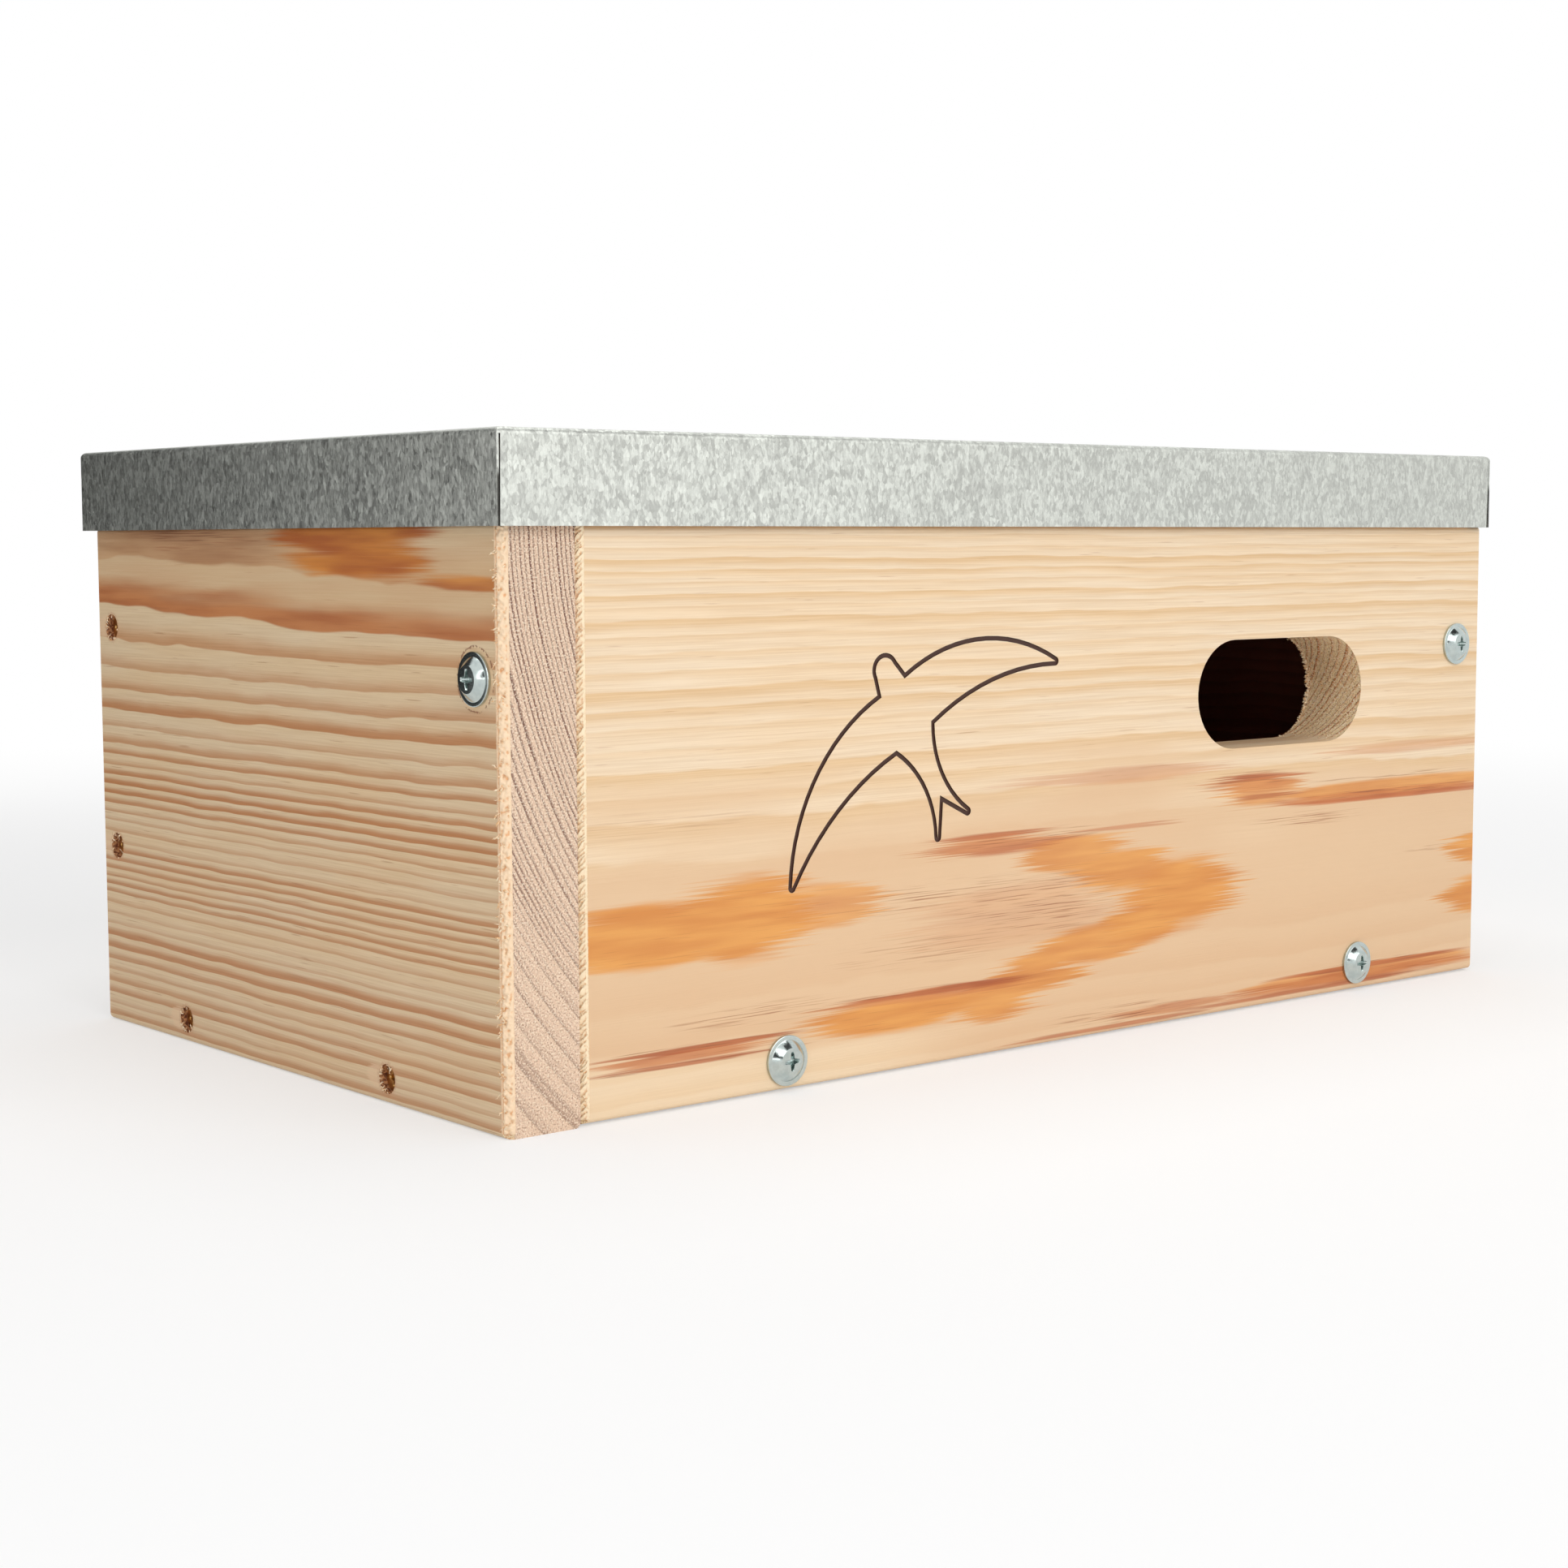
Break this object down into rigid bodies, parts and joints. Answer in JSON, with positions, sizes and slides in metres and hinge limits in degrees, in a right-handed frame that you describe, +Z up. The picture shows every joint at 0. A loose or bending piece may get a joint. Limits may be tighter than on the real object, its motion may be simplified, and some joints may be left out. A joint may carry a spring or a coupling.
{
  "type": "swift nest box",
  "caption": "Long low wooden nest box for swifts: pine boards screwed together, oval entrance slot in a removable front panel, folded galvanised cap over the roof board.",
  "frame": {"origin": "middle of the wooden box's underside, where it stands on a surface", "axes": "+X to the right along the front, +Y from the front panel to the back, +Z up"},
  "size_m": [0.3603, 0.2071, 0.158],
  "materials": {
    "left_side": "planed pine, banded grain, untreated",
    "right_side": "planed pine, untreated",
    "front_panel": "planed pine with resin stains and a burnt line",
    "inner_boards": "sawn pine, untreated",
    "roof_board": "planed pine, untreated",
    "cap_sheet": "hot dip galvanised steel sheet, fine spangle",
    "zinc": "bright zinc plate",
    "yellow_zinc": "yellow zinc plate"
  },
  "bodies": {
    "root": {"left_side": "left_side", "right_side": "right_side", "front_panel": "front_panel", "back_panel": "inner_boards", "floor_panel": "inner_boards", "roof_board": "roof_board", "metal_cap": "cap_sheet", "panel_screw_low_left": "zinc", "panel_screw_low_right": "zinc", "panel_screw_right": "zinc", "panel_screw_left": "zinc", "left_wall_screw_1": "yellow_zinc", "left_wall_screw_2": "yellow_zinc", "left_floor_screw_1": "yellow_zinc", "left_floor_screw_2": "yellow_zinc", "right_wall_screw_1": "yellow_zinc", "right_wall_screw_2": "yellow_zinc", "right_floor_screw_1": "yellow_zinc", "right_floor_screw_2": "yellow_zinc", "rear_floor_screw_1": "yellow_zinc", "rear_floor_screw_2": "yellow_zinc", "roof_screw_1": "yellow_zinc", "roof_screw_2": "yellow_zinc", "roof_screw_3": "yellow_zinc", "roof_screw_4": "yellow_zinc"}
  },
  "joints": []
}
